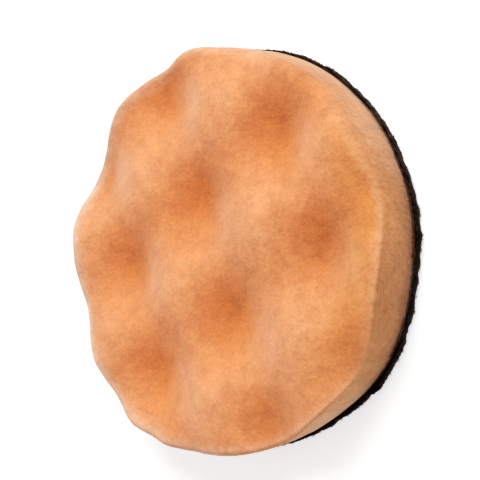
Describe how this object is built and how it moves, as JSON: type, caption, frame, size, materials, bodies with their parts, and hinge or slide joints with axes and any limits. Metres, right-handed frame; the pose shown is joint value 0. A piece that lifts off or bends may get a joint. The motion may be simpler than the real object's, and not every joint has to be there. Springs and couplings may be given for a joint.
{
  "type": "polishing pad",
  "caption": "Round open-cell foam polishing pad with a rolling waffle-cut working face, bonded to a black hook-and-loop loop backing that grips a polisher's backing plate.",
  "frame": {"origin": "centre of the loop backing's rear face, on the pad's axis", "axes": "+Z along the pad's axis, out of the waffle face; +X and +Y lie in the rear face, with the waffle ridges at fixed angles to them"},
  "size_m": [0.1515, 0.1514, 0.0252],
  "materials": {
    "foam": "fine open-cell polyurethane foam, matt, peach orange, darker in the valleys",
    "bond": "hot-melt adhesive soaked into the foam, dark brown",
    "loop_ground": "black warp-knit nylon ground cloth",
    "loop_pile": "black brushed nylon loops, slightly fuzzy"
  },
  "bodies": {
    "root": {"foam_pad": "foam", "bond_line": "bond", "loop_ground": "loop_ground", "loop_pile": "loop_pile"}
  },
  "joints": []
}
